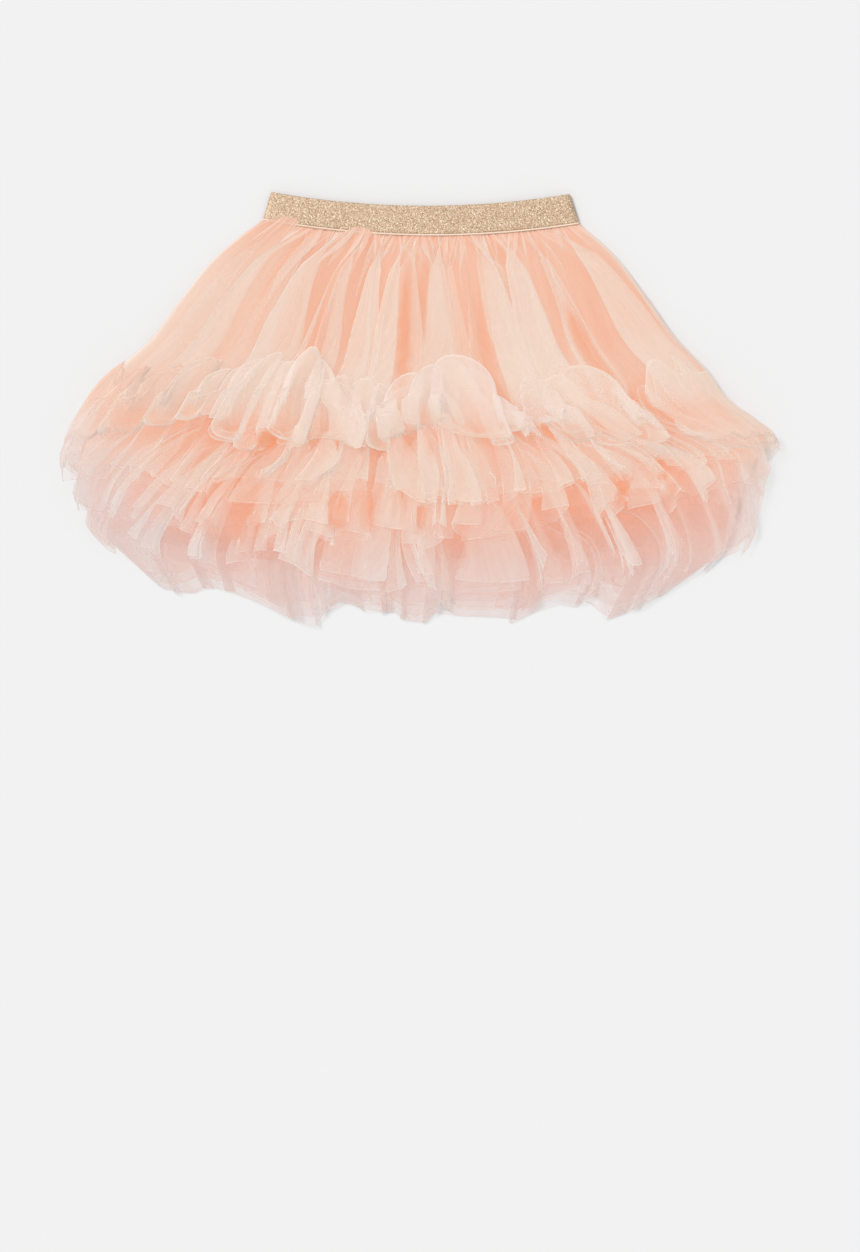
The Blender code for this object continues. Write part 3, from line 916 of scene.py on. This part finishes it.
# name, the CAD piece it stands for, finish, its numbers, its cut in metres, what it lies on
clothPlan = [
    ("underskirtCloth", "underskirt", coralTulle, underskirt, (0.87, 0.24), "waistband"),
    ("ruffle4Lining", "ruffle_4", liningTulle, tierPly(lowestTier, 2, 0, 0.27), (1.2, 0.07),
     "underskirtCloth"),
    ("ruffle4Middle", "ruffle_4", ruffleTulle, tierPly(lowestTier, 1, -7, 0.27), (1.2, 0.07),
     "ruffle4Lining"),
    ("ruffle4Top", "ruffle_4", ruffleTulle, tierPly(lowestTier, 0, -13, 0.25), (1.2, 0.065), "ruffle4Middle"),
    ("ruffle3Under", "ruffle_3", ruffleTulle, tierPly(thirdTier, 1, 4, 0.30), (1.8, 0.085), "ruffle4Top"),
    ("ruffle3Top", "ruffle_3", ruffleTulle, tierPly(thirdTier, 0, -5, 0.38), (1.8, 0.085), "ruffle3Under"),
    ("ruffle2Under", "ruffle_2", ruffleTulle, tierPly(secondTier, 1, 5, 0.26), (1.6, 0.08), "ruffle3Top"),
    ("ruffle2Top", "ruffle_2", ruffleTulle, tierPly(secondTier, 0, -6, 0.38), (1.6, 0.08), "ruffle2Under"),
    ("overskirtUnder", "overskirt", sheerTulle, overPly(1, 0.26, 0), (1.4, 0.155), "underskirtCloth"),
    ("overskirtTop", "overskirt", sheerTulle, overPly(0, 0.42, 1.6), (1.4, 0.155), "overskirtUnder"),
    ("ruffle1Lining", "ruffle_1", ruffleTulle, tierPly(topTier, 0, 0, 0.24), (1.7, 0.075), "ruffle2Top"),
    ("ruffle1Under", "ruffle_1", ruffleTulle, headedPly(1, 0.16, 0, 3), (1.9, 0.13), "ruffle1Lining"),
    ("ruffle1Top", "ruffle_1", ruffleTulle, headedPly(0, 0.3, 2.5, 0), (1.9, 0.13), "ruffle1Under"),
]
for name, node, material, look, cut, under in clothPlan:
    piece = clothPiece(name, pliedGrid(look), material)
    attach(piece, "root")
    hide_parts(node)


def makeGlitter():
    # small flakes, each with its own tone and height
    group, given, result = newGroup(
        "glitterFlakes",
        [("Place", "Vector", None), ("Flake", "Float", 0.0008), ("Seed", "Float", 0.0)],
        [("Tone", "Float"), ("Height", "Float")],
    )
    scale = mathNode(group, "DIVIDE", 1.0, given["Flake"])
    cells = {"Vector": given["Place"], "W": given["Seed"], "Scale": scale}
    cells = addNode(group, "ShaderNodeTexVoronoi", cells, voronoi_dimensions="4D")
    group.links.new(addNode(group, "ShaderNodeSeparateColor", {0: cells["Color"]})[0], result["Tone"])
    group.links.new(mathNode(group, "SUBTRACT", 1.0, cells["Distance"]), result["Height"])
    return group


bandFinish = {
    "flake": 0.0005,  # in metres
    "tones": [(0.0, (0.27, 0.155, 0.087)), (0.3, (0.495, 0.32, 0.194)), (0.62, (0.61, 0.423, 0.276)),
              (0.85, (0.69, 0.545, 0.388)), (1.0, (0.98, 0.88, 0.71))],
    "metallic": 0.35,
    "roughness": 0.42,
    "relief": 0.5,
    "reliefHeight": 0.0004,
    "broadScale": 60,  # a slow change of tone over the flakes: its scale, how much, and its offset
    "broadTone": 0.06,
    "broadOffset": -0.025,
}


def makeBandFinish(look):
    material, tree, shader = newMaterial("champagneGlitter", {
        "Metallic": look["metallic"], "Roughness": look["roughness"],
    })
    place = addNode(tree, "ShaderNodeTexCoord", {})["Object"]
    flakes = {"Place": place, "Flake": look["flake"]}
    flakes = addNode(tree, "ShaderNodeGroup", flakes, node_tree=makeGlitter())
    broad = {"Vector": place, "Scale": look["broadScale"], "Detail": 2}
    broad = addNode(tree, "ShaderNodeTexNoise", broad)[0]
    shifted = mathNode(tree, "MULTIPLY_ADD", broad, look["broadTone"], look["broadOffset"])
    shifted = mathNode(tree, "ADD", flakes["Tone"], shifted, clamp=True)
    ramp = tree.nodes.new("ShaderNodeValToRGB")
    while len(ramp.color_ramp.elements) < len(look["tones"]):
        ramp.color_ramp.elements.new(0.5)
    for element, (position, colour) in zip(ramp.color_ramp.elements, look["tones"]):
        element.position = position
        element.color = (*colour, 1)
    tree.links.new(shifted, ramp.inputs[0])
    tree.links.new(ramp.outputs[0], shader["Base Color"])
    relief = {"Strength": look["relief"], "Distance": look["reliefHeight"], "Height": flakes["Height"]}
    tree.links.new(addNode(tree, "ShaderNodeBump", relief)[0], shader["Normal"])
    return material


# the edges are (left x, left y, middle y, right x, right y), in mm
waistband = {
    "upperEdge": (-112, 161.3, 151, 112, 159.8),
    "lowerEdge": (-118, 141, 129.2, 119, 138),
    "thick": 1.3,
    "frontZ": 3.7,
    "backZ": 0.4,
    "rounding": 4,
    "columns": 420,
    "rows": 12,
    "unevenEdge": 0.12,
    "ripples": 57,  # along the front, drawn together and apart by some longer ones
    "ripplePull": 3,
    "ripplePulls": 5,
    "cut": (0.47, 0.023),
}


def bandLine(look, edge, raised, frontZ, backZ, middleZ, wide):
    # one line of points round the flattened band
    ring = 2 * np.arange(look["columns"]) / look["columns"]
    plan = [value + 0 * ring for value in (*edge, look["rounding"], middleZ)]
    for y in (1, 2, 4):
        plan[y] = plan[y] + raised
    return ringPoints(ring, plan, 0 * ring, frontZ, backZ, wide)


def makeWaistband(look, material):
    # a closed section, outer face and inner face, carried round the flattened loop
    ring = 2 * np.arange(look["columns"]) / look["columns"]
    upper, lower = np.array(look["upperEdge"], float), np.array(look["lowerEdge"], float)
    height = upper[2] - lower[2]
    rim = look["thick"] / 2
    section = []
    for down in 0.5 - 0.5 * np.cos(np.linspace(0, math.pi, look["rows"])):
        fromEdge = min(down, 1 - down) * height
        section.append((down, rim - math.sqrt(rim**2 - max(rim - fromEdge, 0) ** 2)))
    inside = [(down, look["thick"] - inward) for down, inward in reversed(section)]
    pulled = look["ripplePull"] * np.sin(math.pi * look["ripplePulls"] * ring)
    ripple = np.sin(2 * math.pi * look["ripples"] * ring + pulled)
    rings = []
    for down, inward in section + inside[1:-1]:
        edge = upper + (lower - upper) * down
        frontZ, backZ = look["frontZ"] - inward, look["backZ"] + inward
        middleZ = (look["frontZ"] + look["backZ"]) / 2
        raised = look["unevenEdge"] * ripple
        rings.append(bandLine(look, edge, raised, frontZ, backZ, middleZ, -inward))
    points = np.array(rings)
    rows, columns = points.shape[:2]
    index = np.arange(rows * columns).reshape(rows, columns)
    below = np.roll(index, -1, axis=0)
    quads = np.stack([index, below, np.roll(below, -1, axis=1), np.roll(index, -1, axis=1)], axis=-1)
    quads = quads.reshape(-1, 4)
    mesh = bpy.data.meshes.new("waistbandElastic")
    mesh.from_pydata((points * mm).reshape(-1, 3).tolist(), [], quads.tolist())
    mesh.shade_smooth()
    mesh.materials.append(material)
    say(f"waistbandElastic: {len(quads) * 2} triangles")
    return addObject("waistbandElastic", mesh)


band = makeWaistband(waistband, makeBandFinish(bandFinish))
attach(band, "root")
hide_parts("waistband")

# the rolled edge under the band and the stitches that hold the gathers to it, in mm
waistSeam = {
    "Cord Radius": 0.7,
    "Stitch Spacing": 2.3,
    "Stitch Length": 2.2,
    "Stitch Width": 0.4,
    "below": 0.15,
    "inset": 0.3,
    "frontZ": 4.5,
    "backZ": 1.15,
    "middleZ": 2,
    "slant": 0.45,
    "uneven": 0.25,
    "seed": 7,
    "wound": 2.5,  # how far a stitch reaches round the cord, in cord radii
    "colour": (0.93, 0.76, 0.62, 1),
    "darker": (0.86, 0.62, 0.47, 1),
    "fuzz": 900,
    "fuzzRelief": 0.3,
    "fuzzHeight": 0.0002,
    "roughness": 0.75,
    "sheen": 0.1,
}


def seamNodes(look):
    # a cord along the edge with thread wound over it at even steps
    tree = bpy.data.node_groups.new("seamStitches", "GeometryNodeTree")
    sizes = ("Cord Radius", "Stitch Spacing", "Stitch Length", "Stitch Width", "Slant", "Uneven")
    inputs = [("Edge", "Geometry"), *((label, "Float") for label in sizes)]
    for label, kind in [*inputs, ("Seed", "Int"), ("Thread", "Material")]:
        tree.interface.new_socket(label, in_out="INPUT", socket_type="NodeSocket" + kind)
    tree.interface.new_socket("Geometry", in_out="OUTPUT", socket_type="NodeSocketGeometry")
    given = tree.nodes.new("NodeGroupInput").outputs
    result = tree.nodes.new("NodeGroupOutput").inputs
    path = addNode(tree, "GeometryNodeMeshToCurve", {"Mesh": given["Edge"]})[0]
    path = addNode(tree, "GeometryNodeSetCurveNormal", {"Curve": path}, mode="Z_UP")[0]
    circle = {"Resolution": 8, "Radius": given["Cord Radius"]}
    circle = addNode(tree, "GeometryNodeCurvePrimitiveCircle", circle)["Curve"]
    cord = addNode(tree, "GeometryNodeCurveToMesh", {"Curve": path, "Profile Curve": circle})[0]
    spacing = {"Curve": path, "Length": given["Stitch Spacing"]}
    places = addNode(tree, "GeometryNodeCurveToPoints", spacing, mode="LENGTH")
    bead = addNode(tree, "GeometryNodeMeshUVSphere", {"Segments": 6, "Rings": 4, "Radius": 0.5})["Mesh"]
    overCord = mathNode(tree, "MULTIPLY", given["Cord Radius"], look["wound"])
    size = {"X": given["Stitch Length"], "Y": overCord, "Z": given["Stitch Width"]}
    size = addNode(tree, "ShaderNodeCombineXYZ", size)[0]
    smallest = mathNode(tree, "SUBTRACT", 1.0, given["Uneven"])
    largest = mathNode(tree, "ADD", given["Uneven"], 1.0)
    chance = addNode(tree, "FunctionNodeRandomValue", {2: smallest, 3: largest, "Seed": given["Seed"]})[1]
    size = addNode(tree, "ShaderNodeVectorMath", {0: size, "Scale": chance}, operation="SCALE")[0]
    stitches = addNode(tree, "GeometryNodeInstanceOnPoints", {
        "Points": places["Points"], "Instance": bead, "Rotation": places["Rotation"], "Scale": size,
    })[0]
    slant = addNode(tree, "ShaderNodeCombineXYZ", {"Y": given["Slant"]})[0]
    turned = addNode(tree, "GeometryNodeRotateInstances", {"Instances": stitches, "Rotation": slant})[0]
    both = tree.nodes.new("GeometryNodeJoinGeometry")
    tree.links.new(turned, both.inputs[0])
    tree.links.new(cord, both.inputs[0])
    real = addNode(tree, "GeometryNodeRealizeInstances", {0: both.outputs[0]})[0]
    smooth = addNode(tree, "GeometryNodeSetShadeSmooth", {0: real})[0]
    finish = addNode(tree, "GeometryNodeSetMaterial", {"Geometry": smooth, "Material": given["Thread"]})[0]
    tree.links.new(finish, result[0])
    return tree


def makeThread(look):
    material, tree, shader = newMaterial("peachThread", {
        "Roughness": look["roughness"], "Sheen Weight": look["sheen"],
    })
    place = addNode(tree, "ShaderNodeTexCoord", {})["Object"]
    noise = addNode(tree, "ShaderNodeTexNoise", {"Vector": place, "Scale": look["fuzz"]})[0]
    tree.links.new(mixColour(tree, noise, look["colour"], look["darker"]), shader["Base Color"])
    relief = {"Strength": look["fuzzRelief"], "Distance": look["fuzzHeight"], "Height": noise}
    tree.links.new(addNode(tree, "ShaderNodeBump", relief)[0], shader["Normal"])
    return material


def makeWaistSeam(look, bandLook):
    heights = look["frontZ"], look["backZ"], look["middleZ"]
    points = bandLine(bandLook, bandLook["lowerEdge"], -look["below"], *heights, -look["inset"]) * mm
    count = len(points)
    edgeMesh = bpy.data.meshes.new("waistEdge")
    edgeMesh.from_pydata(points.tolist(), [(k, (k + 1) % count) for k in range(count)], [])
    guide = addObject("waistEdge", edgeMesh)
    modifier = guide.modifiers.new("stitches", "NODES")
    modifier.node_group = seamNodes(look)
    wanted = {"Slant": look["slant"], "Uneven": look["uneven"], "Seed": look["seed"]}
    wanted["Thread"] = makeThread(look)
    for key in ("Cord Radius", "Stitch Spacing", "Stitch Length", "Stitch Width"):
        wanted[key] = look[key] * mm
    for socket in modifier.node_group.interface.items_tree:
        if socket.name in wanted:
            modifier[socket.identifier] = wanted[socket.name]
    graph = bpy.context.evaluated_depsgraph_get()
    mesh = bpy.data.meshes.new_from_object(guide.evaluated_get(graph), depsgraph=graph)
    guide.modifiers.remove(modifier)
    bpy.data.objects.remove(guide)
    mesh.name = "waistSeamCord"
    say(f"waistSeamCord: {sum(len(face.vertices) - 2 for face in mesh.polygons)} triangles")
    return addObject("waistSeamCord", mesh)


seamCord = makeWaistSeam(waistSeam, waistband)
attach(seamCord, "root")
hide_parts("waistband")

room = {
    "floorSide": 12.0,
    "floorColour": (0.79, 0.79, 0.79, 1),
    "floorZ": -0.0006,
    "sky": (0.675, 0.675, 0.675, 1),
    "sunStrength": 1.79,
    "sunWide": math.radians(18),
    "sunFrom": (-0.6, 0.5, 1.0),
}
half, floorZ = room["floorSide"] / 2, room["floorZ"]
corners = [(-half, -half, floorZ), (half, -half, floorZ), (half, half, floorZ), (-half, half, floorZ)]
floorMesh = bpy.data.meshes.new("floor")
floorMesh.from_pydata(corners, [], [(0, 1, 2, 3)])
floorMesh.materials.append(newMaterial("studioFloor", {
    "Base Color": room["floorColour"], "Roughness": 1.0, "Specular IOR Level": 0.0,
})[0])
floor = addObject("floor", floorMesh)

world = bpy.data.worlds.new("studio")
world.use_nodes = True
world.node_tree.nodes["Background"].inputs["Color"].default_value = room["sky"]
bpy.context.scene.world = world
sunData = bpy.data.lights.new("softLight", "SUN")
sunData.energy = room["sunStrength"]
sunData.angle = room["sunWide"]
sun = addObject("softLight", sunData)
sun.rotation_euler = Vector(room["sunFrom"]).to_track_quat("Z", "Y").to_euler()

# straight down and far off, so that the skirt is seen as it lies
view = {"x": 0.0071, "y": -0.1639, "away": 3.0, "tall": 0.939, "sensor": 36}
cameraData = bpy.data.cameras.new("camera")
cameraData.sensor_width = view["sensor"]
cameraData.lens = view["sensor"] * view["away"] / view["tall"]
camera = addObject("camera", cameraData)
camera.location = (view["x"], view["y"], view["away"])
bpy.context.scene.camera = camera
bpy.context.scene.view_settings.view_transform = "Standard"
bpy.context.scene.cycles.transparent_max_bounces = 128  # as many plies lie on each other
say("room ready")
